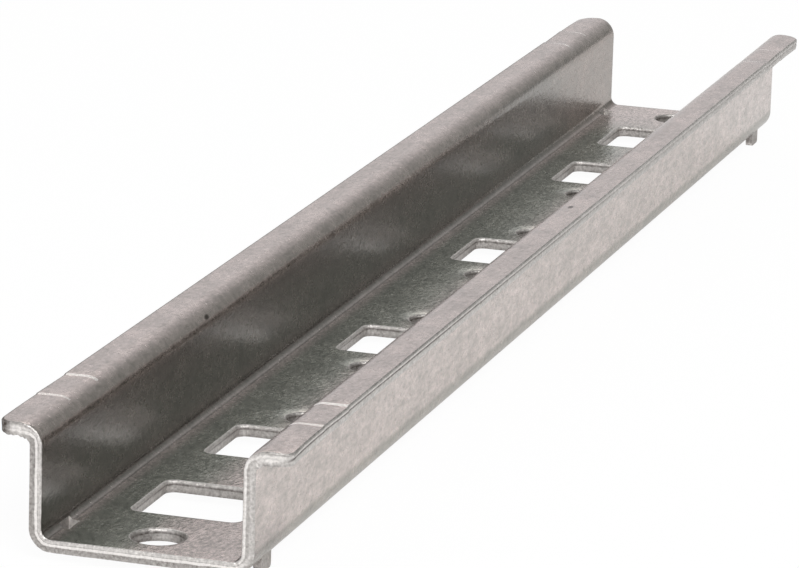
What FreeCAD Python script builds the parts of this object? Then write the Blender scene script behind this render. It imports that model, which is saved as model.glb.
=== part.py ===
"""A short length of top-hat mounting rail, punched and rolled from one steel strip.

The rail lies along X with its open side up. The origin is the middle of the
outside of its floor, the face that goes against a panel, so the flanges stand
one rail height above z = 0 and the four lanced tabs reach below it. Lengths
are in millimetres.
"""

import FreeCAD, Part
import math
import os

import Sketcher
from FreeCAD import Vector

NODE = "din_rail"
CLOSE = 1e-4

# Driving dimensions: alias, value, what it is
SIZES = [
    ("rail_length", 248.0, "end to end"),
    ("rail_width", 35.0, "over the two flanges"),
    ("channel_width", 27.0, "over the outside of the two walls"),
    ("rail_height", 15.0, "from the back to the top of the flanges"),
    ("sheet_gauge", 1.5, "thickness of the strip"),
    ("bend_radius", 1.2, "inside radius of the four rolled bends"),
    ("flange_corner", 2.0, "rounding of each flange corner in plan"),
    ("slot_pitch", 25.65, "step of the punching, which leaves some stations out"),
    ("slot_length", 13.2, "rectangular opening, along the rail"),
    ("slot_width", 13.2, "rectangular opening, across the rail"),
    ("slot_corner", 1.2, "corner radius of the rectangular openings"),
    ("pilot_bore", 5.0, "diameter of the small holes between the openings"),
    ("end_bore", 6.2, "diameter of the screw hole at each end"),
    ("end_bore_inset", 6.2, "from the rail's end to the centre of that hole"),
    ("tab_inset", 6.8, "from the rail's end to the middle of a tab"),
    ("tab_length", 3.4, "length of a tab along the rail"),
    ("tab_gauge", 1.0, "thickness of a tab, thinned as it is lanced down"),
    ("tab_setback", 0.75, "from the outside of the wall in to the tab's outer face"),
    ("tab_drop", 1.1, "how far a tab stands below the back"),
    ("tab_corner", 0.5, "rounding of a tab's two lower corners"),
    ("window_width", 1.35, "gap that lancing a tab leaves in the floor beside it"),
]

# Stations of the punching, counted in pitches from the middle of the rail
SLOT_STATIONS = (1, 3, 4)
PILOT_STATIONS = (0.5, 1.5, 2.5)

doc = FreeCAD.newDocument("Rail")
sheet = doc.addObject("Spreadsheet::Sheet", "sizes")
for row, (alias, value, meaning) in enumerate(SIZES, start=1):
    sheet.set("A%d" % row, meaning)
    sheet.set("B%d" % row, str(value))
    sheet.setAlias("B%d" % row, alias)
doc.recompute()

body = doc.addObject("PartDesign::Body", NODE)
body.Label = NODE
body.Placement = FreeCAD.Placement()


def size(alias):
    """Current value of one driving dimension."""
    return float(getattr(sheet, alias))


def origin_feature(role):
    """One of the body's own origin planes or axes."""
    return next(item for item in body.Origin.OriginFeatures if item.Role == role)


def new_sketch(name, plane):
    """Empty sketch on one of the body's origin planes."""
    sketch = body.newObject("Sketcher::SketchObject", name)
    sketch.AttachmentSupport = (origin_feature(plane), [""])
    sketch.MapMode = "FlatFace"
    return sketch


def bind(sketch, kind, places, value, expression):
    """Add a dimension and tie it to the sheet."""
    index = sketch.addConstraint(Sketcher.Constraint(kind, *places, value))
    sketch.setExpression("Constraints[%d]" % index, expression)
    return index


def place_line(sketch, line, upright, value, expression):
    """Hold an upright line's X or a level line's Y at a signed place from the origin."""
    if expression is None:
        sketch.addConstraint(Sketcher.Constraint("PointOnObject", line, 1, -1))
        return
    ends = (-1, 1, line, 1) if value > 0 else (line, 1, -1, 1)
    bind(sketch, "DistanceX" if upright else "DistanceY", ends, abs(value), expression)


def square_outline(sketch, places):
    """Closed outline of upright and level lines in turn, the first one upright.

    Each place is a line's coordinate and the expression of its distance from
    the origin, or None for a line on the sketch's own level axis.
    """
    first = sketch.GeometryCount
    count = len(places)
    for number, (value, _) in enumerate(places):
        before = places[number - 1][0]
        after = places[(number + 1) % count][0]
        upright = number % 2 == 0
        start = Vector(value, before, 0) if upright else Vector(before, value, 0)
        end = Vector(value, after, 0) if upright else Vector(after, value, 0)
        line = sketch.addGeometry(Part.LineSegment(start, end), False)
        direction = "Vertical" if upright else "Horizontal"
        sketch.addConstraint(Sketcher.Constraint(direction, line))
    for number, (value, expression) in enumerate(places):
        line = first + number
        following = first + (number + 1) % count
        sketch.addConstraint(Sketcher.Constraint("Coincident", line, 2, following, 1))
        place_line(sketch, line, number % 2 == 0, value, expression)


def rounded_opening(sketch, centre_x, pitches):
    """Rectangle with four equal corner arcs, centred on the rail's centre line."""
    half_x = size("slot_length") / 2
    half_y = size("slot_width") / 2
    radius = size("slot_corner")
    left, right = centre_x - half_x, centre_x + half_x
    first = sketch.GeometryCount
    sides = [
        ((left + radius, -half_y), (right - radius, -half_y), "Horizontal"),
        ((right, radius - half_y), (right, half_y - radius), "Vertical"),
        ((right - radius, half_y), (left + radius, half_y), "Horizontal"),
        ((left, half_y - radius), (left, radius - half_y), "Vertical"),
    ]
    for start, end, direction in sides:
        line = sketch.addGeometry(Part.LineSegment(Vector(*start, 0), Vector(*end, 0)), False)
        sketch.addConstraint(Sketcher.Constraint(direction, line))
    turns = [
        (right - radius, radius - half_y, 270),
        (right - radius, half_y - radius, 0),
        (left + radius, half_y - radius, 90),
        (left + radius, radius - half_y, 180),
    ]
    for number, (x, y, start_angle) in enumerate(turns):
        circle = Part.Circle(Vector(x, y, 0), Vector(0, 0, 1), radius)
        begin = math.radians(start_angle)
        turn = Part.ArcOfCircle(circle, begin, begin + math.pi / 2)
        arc = sketch.addGeometry(turn, False)
        before = first + number
        after = first + (number + 1) % 4
        sketch.addConstraint(Sketcher.Constraint("Tangent", before, 2, arc, 1))
        sketch.addConstraint(Sketcher.Constraint("Tangent", arc, 2, after, 1))
        if number:
            sketch.addConstraint(Sketcher.Constraint("Equal", first + 4, arc))
    bottom, right_side, top, left_side = range(first, first + 4)
    bind(sketch, "Radius", (first + 4,), radius, "sizes.slot_corner")
    bind(sketch, "DistanceX", (left_side, 1, right_side, 2), 2 * half_x, "sizes.slot_length")
    bind(sketch, "DistanceY", (bottom, 1, top, 2), 2 * half_y, "sizes.slot_width")
    bind(sketch, "DistanceY", (-1, 1, top, 2), half_y, "sizes.slot_width / 2")
    bind(sketch, "DistanceX", (-1, 1, right_side, 1), right,
         "sizes.slot_pitch * %g + sizes.slot_length / 2" % pitches)


def round_opening(sketch, centre_x, place, bore):
    """Circle on the rail's centre line, its place and diameter tied to the sheet."""
    circle = Part.Circle(Vector(centre_x, 0, 0), Vector(0, 0, 1), size(bore) / 2)
    number = sketch.addGeometry(circle, False)
    sketch.addConstraint(Sketcher.Constraint("PointOnObject", number, 3, -1))
    bind(sketch, "DistanceX", (-1, 1, number, 3), centre_x, place)
    bind(sketch, "Diameter", (number,), size(bore), "sizes." + bore)


def tab_rectangles(sketch, inner_edge, outer_edge):
    """Two rectangles as long as a tab, one at each wall, at one end of the rail.

    An edge is its distance from the rail's centre line and that distance's expression.
    """
    middle = size("rail_length") / 2 - size("tab_inset")
    half = size("tab_length") / 2
    centre = "sizes.rail_length / 2 - sizes.tab_inset"
    for side in (1, -1):
        square_outline(sketch, [
            (middle - half, centre + " - sizes.tab_length / 2"),
            (side * inner_edge[0], inner_edge[1]),
            (middle + half, centre + " + sizes.tab_length / 2"),
            (side * outer_edge[0], outer_edge[1]),
        ])


def add_feature(kind, name, profile, sign, **settings):
    """Pad or pocket of a sketch, checked to add or remove material."""
    before = body.Shape.Volume if body.Tip else 0.0
    feature = body.newObject("PartDesign::" + kind, name)
    feature.Profile = profile
    for key, value in settings.items():
        if isinstance(value, str) and value.startswith("sizes."):
            feature.setExpression(key, value)
        else:
            setattr(feature, key, value)
    doc.recompute()
    if (feature.Shape.Volume - before) * sign <= 0:
        raise RuntimeError("%s changes nothing" % name)
    return feature


def edges_along(shape, axis, places):
    """Names of the straight edges along one axis at the given other coordinates."""
    others = [number for number in range(3) if number != axis]
    names = []
    for number, edge in enumerate(shape.Edges, start=1):
        start, end = edge.Vertexes[0].Point, edge.Vertexes[-1].Point
        if abs(start[axis] - end[axis]) < CLOSE:
            continue
        for place in places:
            offsets = [abs(point[other] - target) for point in (start, end)
                       for other, target in zip(others, place)]
            if max(offsets) < CLOSE:
                names.append("Edge%d" % number)
    return names


def round_edges(name, axis, places, radius_expression):
    """Fillet of the straight edges along one axis at the given other coordinates."""
    base = body.Tip
    names = edges_along(base.Shape, axis, places)
    if len(names) < len(places):
        raise RuntimeError("%s finds %d edges of %d" % (name, len(names), len(places)))
    fillet = body.newObject("PartDesign::Fillet", name)
    fillet.Base = (base, names)
    fillet.setExpression("Radius", radius_expression)
    doc.recompute()
    return fillet


length = size("rail_length")
gauge = size("sheet_gauge")
top = size("rail_height")
tip = size("rail_width") / 2
outside = size("channel_width") / 2
inside = outside - gauge

# Top-hat section, square-cornered, drawn across the rail from the left flange's tip
section = new_sketch("SectionSketch", "YZ_Plane")
tip_place = "sizes.rail_width / 2"
outside_place = "sizes.channel_width / 2"
inside_place = "sizes.channel_width / 2 - sizes.sheet_gauge"
under_place = "sizes.rail_height - sizes.sheet_gauge"
square_outline(section, [
    (-tip, tip_place), (top - gauge, under_place),
    (-outside, outside_place), (0, None),
    (outside, outside_place), (top - gauge, under_place),
    (tip, tip_place), (top, "sizes.rail_height"),
    (inside, inside_place), (gauge, "sizes.sheet_gauge"),
    (-inside, inside_place), (top, "sizes.rail_height"),
])
add_feature("Pad", "Section", section, 1, SideType="Symmetric", Length="sizes.rail_length")

# Rolled bends: the inside radius, and the same bend's outside one gauge larger
round_edges("BendInsides", 0, [(side * inside, gauge) for side in (1, -1)]
            + [(side * outside, top - gauge) for side in (1, -1)], "sizes.bend_radius")
round_edges("BendOutsides", 0, [(side * outside, 0) for side in (1, -1)]
            + [(side * inside, top) for side in (1, -1)],
            "sizes.bend_radius + sizes.sheet_gauge")

# Rectangular openings, holes between them and the screw hole, in one half of the floor
slots = new_sketch("SlotSketch", "XY_Plane")
for station in SLOT_STATIONS:
    rounded_opening(slots, station * size("slot_pitch"), station)
slot_cut = add_feature("Pocket", "Slots", slots, -1, SideType="Symmetric", Type="ThroughAll")

pilots = new_sketch("PilotSketch", "XY_Plane")
for station in PILOT_STATIONS:
    round_opening(pilots, station * size("slot_pitch"), "sizes.slot_pitch * %g" % station,
                  "pilot_bore")
pilot_cut = add_feature("Pocket", "PilotHoles", pilots, -1, SideType="Symmetric",
                        Type="ThroughAll")

screw = new_sketch("ScrewHoleSketch", "XY_Plane")
round_opening(screw, length / 2 - size("end_bore_inset"),
              "sizes.rail_length / 2 - sizes.end_bore_inset", "end_bore")
screw_cut = add_feature("Pocket", "ScrewHole", screw, -1, SideType="Symmetric",
                        Type="ThroughAll")

# Lanced tabs: each is cut free of the floor at the foot of the wall and bent straight down
tab_outer_edge = (outside - size("tab_setback"), outside_place + " - sizes.tab_setback")
tab_inner_edge = (tab_outer_edge[0] - size("tab_gauge"), tab_outer_edge[1] + " - sizes.tab_gauge")
window_edge = (tab_inner_edge[0] - size("window_width"),
               tab_inner_edge[1] + " - sizes.window_width")

window = new_sketch("WindowSketch", "XY_Plane")
tab_rectangles(window, window_edge, tab_inner_edge)
window_cut = add_feature("Pocket", "TabWindows", window, -1, Reversed=True,
                         Length="sizes.sheet_gauge + sizes.bend_radius")

tabs = new_sketch("TabSketch", "XY_Plane")
tab_rectangles(tabs, tab_inner_edge, tab_outer_edge)
tab_pad = add_feature("Pad", "Tabs", tabs, 1, SideType="Two sides",
                      Length="sizes.sheet_gauge", Length2="sizes.tab_drop")

# The other end has the same punching and tabs, turned end for end
half_volume = body.Shape.Volume
mirrored = body.newObject("PartDesign::Mirrored", "OtherEnd")
mirrored.Originals = [slot_cut, pilot_cut, screw_cut, window_cut, tab_pad]
mirrored.MirrorPlane = (origin_feature("YZ_Plane"), [""])
body.Tip = mirrored
doc.recompute()
if mirrored.Shape.Volume >= half_volume:
    raise RuntimeError("the other end has no openings")

# Rounded corners of the flanges and of the tabs
round_edges("FlangeCorners", 2, [(end * length / 2, side * tip)
                                 for end in (1, -1) for side in (1, -1)],
            "sizes.flange_corner")
tab_ends = [length / 2 - size("tab_inset") + half * size("tab_length") / 2
            for half in (1, -1)]
round_edges("TabCorners", 1, [(end * x, -size("tab_drop"))
                              for end in (1, -1) for x in tab_ends],
            "sizes.tab_corner")

for item in doc.Objects:
    if "Invalid" in item.State or "Error" in item.State:
        raise RuntimeError("%s failed: %s" % (item.Name, item.State))
shape = body.Shape
if shape.isNull() or not shape.isValid() or len(shape.Solids) != 1:
    raise RuntimeError("%s is not one sound solid" % NODE)

os.makedirs("parts", exist_ok=True)
shape.exportStep("parts/%s.step" % NODE)
print("%s: volume %.1f mm3, box %s" % (NODE, shape.Volume, shape.BoundBox))
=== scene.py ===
"""The looks of a short top-hat mounting rail, punched and rolled from galvanised strip.

Lengths are in metres in the rail's own axes: X along it, Y across it and Z out of its
open side, with the origin in the middle of the back of its floor.  The rail is one strip,
so one mesh is worked out for it: places on the flat strip are folded into the section, and
every cut edge is a profile carried along its outline.
"""

import logging
import math
from dataclasses import dataclass, field
from enum import Enum
from typing import Any, Mapping, Sequence

import bmesh
import bpy
import numpy as np
from mathutils import Matrix, Vector


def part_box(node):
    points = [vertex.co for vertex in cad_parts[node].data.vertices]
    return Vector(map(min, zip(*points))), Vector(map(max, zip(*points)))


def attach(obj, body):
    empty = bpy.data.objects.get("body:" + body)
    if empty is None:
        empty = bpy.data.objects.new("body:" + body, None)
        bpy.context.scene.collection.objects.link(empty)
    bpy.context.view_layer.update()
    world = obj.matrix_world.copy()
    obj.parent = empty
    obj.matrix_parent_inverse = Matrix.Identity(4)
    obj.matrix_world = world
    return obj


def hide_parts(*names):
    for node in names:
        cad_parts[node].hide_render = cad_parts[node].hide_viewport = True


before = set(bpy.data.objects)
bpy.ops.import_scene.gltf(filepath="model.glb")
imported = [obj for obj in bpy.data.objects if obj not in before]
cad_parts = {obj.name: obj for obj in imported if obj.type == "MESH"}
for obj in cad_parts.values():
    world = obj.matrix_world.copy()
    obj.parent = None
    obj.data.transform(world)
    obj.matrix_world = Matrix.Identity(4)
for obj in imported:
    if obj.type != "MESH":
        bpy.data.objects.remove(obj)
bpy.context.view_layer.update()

LOG = logging.getLogger("din_rail")
MM = 0.001
QUARTER_TURN = math.pi / 2
SHARP_ANGLE = math.radians(38)
NODE = "din_rail"
SLOT_NAME = "galvanised_steel"

Colour = tuple[float, float, float]
Span = tuple[float, float]


def add_object(name: str, data: bpy.types.ID) -> bpy.types.Object:
    """Link a new object, which stands at the origin."""
    made = bpy.data.objects.new(name, data)
    bpy.context.scene.collection.objects.link(made)
    return made


class Layer(Enum):
    """The two faces of the strip, each with its share of the way through it."""

    OPEN_SIDE = 0.0
    BACK = 1.0


@dataclass(frozen=True)
class Section:
    """Folded section of the rail, which turns places across the flat strip into Y and Z.

    Args:
        half_width: from the centre line to a flange's edge.
        half_channel: from the centre line to the outside of a wall.
        height: from the back to the top of the flanges.
        gauge: thickness of the strip.
        bend: inside radius of the four bends.
    """

    half_width: float
    half_channel: float
    height: float
    gauge: float = 1.5 * MM
    bend: float = 1.2 * MM

    @property
    def arc(self) -> float:
        """Length of a bend along the strip's middle layer."""
        return (self.bend + self.gauge / 2) * QUARTER_TURN

    @property
    def floor_end(self) -> float:
        """Place where the floor meets the lower bend."""
        return self.half_channel - self.gauge - self.bend

    @property
    def wall_start(self) -> float:
        """Place where the lower bend meets the wall."""
        return self.floor_end + self.arc

    @property
    def wall_end(self) -> float:
        """Place where the wall meets the upper bend."""
        return self.wall_start + self.height - 2 * (self.gauge + self.bend)

    @property
    def flange_start(self) -> float:
        """Place where the upper bend meets the flat of the flange."""
        return self.wall_end + self.arc

    @property
    def half_strip(self) -> float:
        """Place of the flange's edge: half the width of the flat strip."""
        return self.flange_start + self.half_width - self.half_channel - self.bend

    def fold(self, place: np.ndarray, depth: np.ndarray) -> tuple[np.ndarray, np.ndarray]:
        """Fold places across the flat strip into the section.

        A point runs out along the floor, turns a quarter about the lower bend's centre,
        runs up the wall, turns back about the upper bend's centre and runs out along the
        flange.  Each bend adds its radius times the sine, or times one less the cosine, of
        the angle turned so far.

        Args:
            place: signed length along the middle layer from the centre line.
            depth: distance from the open side's face through the sheet.

        Returns:
            The Y and Z of each point.
        """
        run = np.abs(place)
        lower = np.clip((run - self.floor_end) / self.arc, 0, 1) * QUARTER_TURN
        upper = np.clip((run - self.wall_end) / self.arc, 0, 1) * QUARTER_TURN
        lower_radius = self.bend + depth
        upper_radius = self.bend + self.gauge - depth
        up_wall = np.clip(run - self.wall_start, 0, self.wall_end - self.wall_start)
        along_flange = np.maximum(run - self.flange_start, 0)
        out = (np.minimum(run, self.floor_end) + lower_radius * np.sin(lower)
               + upper_radius * (1 - np.cos(upper)) + along_flange)
        up = (self.gauge - depth + lower_radius * (1 - np.cos(lower))
              + up_wall + upper_radius * np.sin(upper))
        return np.sign(place) * out, up

    def bend_place(self, out: float, depth: float) -> float:
        """Place in the lower bend whose point at this depth lies ``out`` from the centre line."""
        angle = math.asin((out - self.floor_end) / (self.bend + depth))
        return self.floor_end + self.arc * angle / QUARTER_TURN


@dataclass(frozen=True)
class CutEdge:
    """Profile of a sheared edge through the sheet, from the open side to the back.

    The blade rounds the first corner over, leaves a smooth burnished band and then breaks
    the rest away, which leaves a rougher, set-back band.  Each stop is (inset in
    millimetres from the outline into the metal, depth as a share of the gauge, tone of the
    finish there).

    Args:
        stops: the profile's stops below the rounded corner.
        rollover: width and depth of the rounded corner.
        corner_tone: tone of the rounded corner.
    """

    stops: tuple[tuple[float, float, float], ...]
    rollover: float = 0.2 * MM
    corner_tone: float = 0.75

    def profile(self, gauge: float) -> tuple[np.ndarray, np.ndarray, np.ndarray]:
        """Work out the profile's points.

        The corner is a quarter circle in four steps: its inset is the radius times one
        less the sine, and its depth the radius times one less the cosine, of the turn.

        Args:
            gauge: thickness of the sheet.

        Returns:
            Inset, depth and tone along the profile.
        """
        turn = np.linspace(0, QUARTER_TURN, 5)
        inset = self.rollover * (1 - np.sin(turn))
        depth = self.rollover * (1 - np.cos(turn))
        rest = np.array(self.stops)
        return (np.concatenate([inset, rest[:, 0] * MM]),
                np.concatenate([depth, rest[:, 1] * gauge]),
                np.concatenate([np.full(turn.size, self.corner_tone), rest[:, 2]]))


# The end of the floor and the left wall, of the right wall and of the flanges
FLOOR_END = CutEdge(corner_tone=0.66, stops=(
    (0.00, 0.18, 0.72), (0.00, 0.26, 0.66), (0.02, 0.30, 0.46), (0.00, 0.34, 0.98),
    (0.00, 0.50, 1.00), (0.04, 0.56, 0.38), (0.12, 1.00, 0.42)))
RIGHT_END = CutEdge(corner_tone=0.85, stops=(
    (0.00, 0.18, 0.95), (0.00, 0.26, 0.90), (0.03, 0.33, 0.48), (0.04, 0.50, 0.52),
    (0.02, 0.62, 0.68), (0.06, 0.92, 0.54), (0.12, 1.00, 0.52)))
FLANGE_END = CutEdge(corner_tone=0.46, stops=(
    (0.03, 0.20, 0.62), (0.08, 0.34, 0.95), (0.03, 0.48, 0.74), (0.07, 0.62, 1.00),
    (0.04, 0.76, 0.66), (0.07, 0.93, 0.54), (0.12, 1.00, 0.48)))
# The slit edges of the left and of the right flange
LEFT_SLIT = CutEdge(rollover=0.30 * MM, corner_tone=0.30, stops=(
    (0.00, 0.38, 0.26), (0.00, 0.50, 0.20), (0.03, 0.56, 0.14), (0.04, 0.70, 0.18),
    (0.05, 0.80, 0.16), (0.06, 0.95, 0.20), (0.12, 1.00, 0.24)))
RIGHT_SLIT = CutEdge(rollover=0.18 * MM, corner_tone=0.44, stops=(
    (0.03, 0.15, 0.44), (0.00, 0.20, 0.70), (0.00, 0.32, 0.70), (0.05, 0.37, 0.19),
    (0.05, 0.44, 0.19), (0.00, 0.50, 0.64), (0.10, 1.00, 0.62)))
# The edges of every punched hole
PUNCHED_EDGE = CutEdge(rollover=0.30 * MM, corner_tone=0.62, stops=(
    (0.00, 0.26, 0.34), (0.00, 0.34, 0.20), (0.03, 0.44, 0.50), (0.04, 0.66, 0.54),
    (0.05, 0.85, 0.42), (0.06, 0.96, 0.34), (0.10, 1.00, 0.30)))


class Shell:
    """Gathers grids and flat faces into one closed mesh.

    Every point carries two values for the finish: how far it lies on cut metal, and the
    tone of the metal there.
    """

    def __init__(self) -> None:
        """Start with nothing."""
        self.points: list[np.ndarray] = []
        self.values: list[np.ndarray] = []
        self.faces: list[np.ndarray] = []
        self.count = 0

    def _append(self, points: np.ndarray, cut: Any, tone: Any) -> int:
        """Store points with their finish values.

        Args:
            points: (n, 3) places.
            cut: share of cut metal at each point.
            tone: tone of the metal at each point.

        Returns:
            Index of the first of these points.
        """
        first = self.count
        total = len(points)
        self.points.append(points)
        self.values.append(np.stack([np.broadcast_to(cut, total),
                                     np.broadcast_to(tone, total)], 1))
        self.count += total
        return first

    def grid(self, points: np.ndarray, cut: Any = 0.0, tone: Any = 0.5,
             keep: np.ndarray | None = None) -> None:
        """Add a grid of points as four-sided faces between neighbours.

        Args:
            points: (rows, columns, 3) places.
            cut: share of cut metal, one value or one for each point.
            tone: tone of the metal, one value or one for each point.
            keep: which of the (rows - 1, columns - 1) faces are made.
        """
        rows, columns = points.shape[:2]
        spread = [np.broadcast_to(value, (rows, columns)).reshape(-1) for value in (cut, tone)]
        first = self._append(points.reshape(-1, 3), *spread)
        index = first + np.arange(rows * columns).reshape(rows, columns)
        corners = np.stack([index[:-1, :-1], index[1:, :-1], index[1:, 1:], index[:-1, 1:]], -1)
        chosen = corners.reshape(-1, 4) if keep is None else corners[keep]
        self.faces.extend(chosen)

    def face(self, points: np.ndarray, cut: float, tone: float) -> None:
        """Add one flat face with any number of corners.

        Args:
            points: (n, 3) places in order round the face.
            cut: share of cut metal.
            tone: tone of the metal.
        """
        first = self._append(points, cut, tone)
        self.faces.append(first + np.arange(len(points)))

    def build(self, name: str, merge: float) -> bpy.types.Object:
        """Make one object of everything gathered.

        Points that lie together are merged, so that the patches close into a solid, and
        faces are turned outwards.

        Args:
            name: name of the object.
            merge: distance under which points are one.

        Returns:
            The object, linked to the scene.
        """
        mesh = bpy.data.meshes.new(name)
        mesh.from_pydata(np.concatenate(self.points), [], [list(face) for face in self.faces])
        corner_values = np.concatenate(self.values)[np.concatenate(self.faces)]
        for column, label in enumerate(("cut", "tone")):
            layer = mesh.attributes.new(label, "FLOAT", "CORNER")
            layer.data.foreach_set("value", corner_values[:, column].astype(np.float32))
        work = bmesh.new()
        work.from_mesh(mesh)
        bmesh.ops.remove_doubles(work, verts=work.verts, dist=merge)
        bmesh.ops.recalc_face_normals(work, faces=work.faces)
        open_edges = sum(not edge.is_manifold for edge in work.edges)
        volume = work.calc_volume(signed=True)
        work.to_mesh(mesh)
        work.free()
        mesh.shade_smooth()
        mesh.set_sharp_from_angle(angle=SHARP_ANGLE)
        piece = add_object(name, mesh)
        LOG.info("%s: %d faces, %d open edges, volume %.1f mm3",
                 name, len(mesh.polygons), open_edges, volume / MM ** 3)
        return piece


# Shares of a cell's half side at which its lines run, and how many of its steps turn a corner
CELL_SHARES = np.array([-1, -0.88, -0.78, -0.68, -0.34, -0.02, 0.02, 0.34, 0.68, 0.78, 0.88, 1])
CORNER_STEPS = 3


@dataclass(frozen=True)
class Opening:
    """One punched opening on the centre line, and the cell of the floor round it.

    Args:
        centre: X of the middle.
        half: half the opening's width, or its radius.
        corner: corner radius, the same as ``half`` where the opening is round.
        cell_half: half the cell's length along the rail.
        shares: where the cell's lines across the rail run, as shares of its half length.
        dish: how far the punch drew the floor down at the opening's edge.
    """

    centre: float
    half: float
    corner: float
    cell_half: float
    shares: tuple[float, ...] = tuple(CELL_SHARES)
    dish: float = 0.0

    # Painted shade inside round holes, and the painted reflection streak on their far side
    ROUND_SHADE = 0.65
    REFLECTION_STREAK = 0.6
    REFLECTION_STREAK_POWER = 8

    @property
    def shade(self) -> np.ndarray:
        """What the cut edge's tones are multiplied by at each point of the outline.

        Round holes are darker inside, which is painted shade, but for a painted reflection: a
        streak on the side towards the far end, which fades with the eighth power of the cosine
        of the direction from the hole's middle.
        """
        across = self.outline(0)[:, 0] - self.centre
        if self.corner < self.half:
            return np.ones(across.size)
        turned = np.clip(across / self.half, 0, 1)
        return self.ROUND_SHADE + self.REFLECTION_STREAK * turned ** self.REFLECTION_STREAK_POWER

    @property
    def lines(self) -> np.ndarray:
        """X of the cell's lines across the rail."""
        return self.centre + self.cell_half * np.array(self.shares)

    def outline(self, inset: float) -> np.ndarray:
        """Outline of the opening, grown into the metal by an inset.

        One side runs from the middle of one corner to the middle of the next: the corner's
        angle is swept, the straight part keeps angle 0, and a round opening sweeps all the
        way.  The other sides are the same one turned by quarter turns.

        Args:
            inset: distance from the opening's edge into the metal.

        Returns:
            (n, 2) closed loop of X and place across, its last point the same as its first.
        """
        steps = CELL_SHARES.size - 1
        straight = self.half - self.corner
        if straight > 0:
            number = np.arange(steps + 1)
            swept = np.minimum(number, CORNER_STEPS) + np.maximum(number - steps + CORNER_STEPS, 0)
            angle = (swept / CORNER_STEPS - 1) * QUARTER_TURN / 2
            along = straight * np.clip(CELL_SHARES / CELL_SHARES[-1 - CORNER_STEPS], -1, 1)
        else:
            angle = np.linspace(-1, 1, steps + 1) * QUARTER_TURN / 2
            along = np.zeros(steps + 1)
        radius = self.corner + inset
        side = np.stack([straight + radius * np.cos(angle), along + radius * np.sin(angle)], 1)
        turns = [np.array([[math.cos(t), math.sin(t)], [-math.sin(t), math.cos(t)]])
                 for t in QUARTER_TURN * np.arange(4)]
        loop = np.concatenate([side[:-1] @ turn for turn in turns] + [side[:1]])
        return loop + [self.centre, 0]

    def cell_edge(self, places: np.ndarray) -> np.ndarray:
        """Edge of the cell, in step with the outline.

        Args:
            places: places across of the cell's lines along the rail.

        Returns:
            (n, 2) closed loop of X and place across.
        """
        x = self.lines
        right = np.stack([np.full(x.size, x[-1]), places], 1)
        top = np.stack([x[::-1], np.full(x.size, places[-1])], 1)
        left = np.stack([np.full(x.size, x[0]), places[::-1]], 1)
        bottom = np.stack([x, np.full(x.size, places[0])], 1)
        return np.concatenate([right[:-1], top[:-1], left[:-1], bottom])


@dataclass(frozen=True)
class Tab:
    """Sizes of the four lanced tabs and of the window that each leaves in the floor.

    Args:
        inset: from the rail's end to the tab's middle.
        length: along the rail.
        gauge: thickness, less than the strip's.
        setback: from the outside of the wall in to the tab's outer face.
        window: width of the window.
        corner: rounding of the two lower corners.
    """

    inset: float = 6.8 * MM
    length: float = 3.4 * MM
    gauge: float = 1.0 * MM
    setback: float = 0.75 * MM
    window: float = 1.35 * MM
    corner: float = 0.5 * MM

    # Share of cut metal and tone of each kind of face
    INNER = (1.0, 0.42)
    OUTER = (0.7, 0.40)
    SIDE = (1.0, 0.5)
    WINDOW_SIDE = (1.0, 0.9)
    RIM = (1.0, 0.8)
    FLOOR_CUT = (1.0, 0.1)


@dataclass(frozen=True)
class Mark:
    """A tool's mark across both flanges at both ends: a small step down towards the end.

    Args:
        distance: from the rail's end to the step.
        drop: height of the step.
        width: length of the step's slope along the rail.
        recovery: length towards the end over which the flange comes back up.
        shine: how far the slope is rubbed bright.
    """

    distance: float
    drop: float
    width: float
    recovery: float
    shine: float

    def sag(self, from_end: np.ndarray) -> np.ndarray:
        """Height lost at each distance from the rail's end.

        It is nothing inward of the step, the whole drop just past the step's slope, and
        falls evenly back to nothing over the recovery.

        Args:
            from_end: distances from the rail's end.

        Returns:
            Height lost at each.
        """
        past = self.distance + self.width / 2 - from_end
        slope = np.clip(past / self.width, 0, 1)
        left = np.clip(1 - (past - self.width) / self.recovery, 0, 1)
        return self.drop * slope * left


@dataclass(frozen=True)
class EndWear:
    """What shearing left at one flange's end: a drooping corner, a dent and a ragged edge.

    Args:
        end: +1 or -1, the end along X.
        side: +1 or -1, the flange along Y.
        droop: how far the outer corner is bent down.
        dent: depth of the dent in the upper bend.
        ragged: height of the ragged edge's teeth.
        burr: how far the torn metal hangs below the flange.
    """

    end: int
    side: int
    droop: float
    dent: float
    ragged: float
    burr: float


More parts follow.
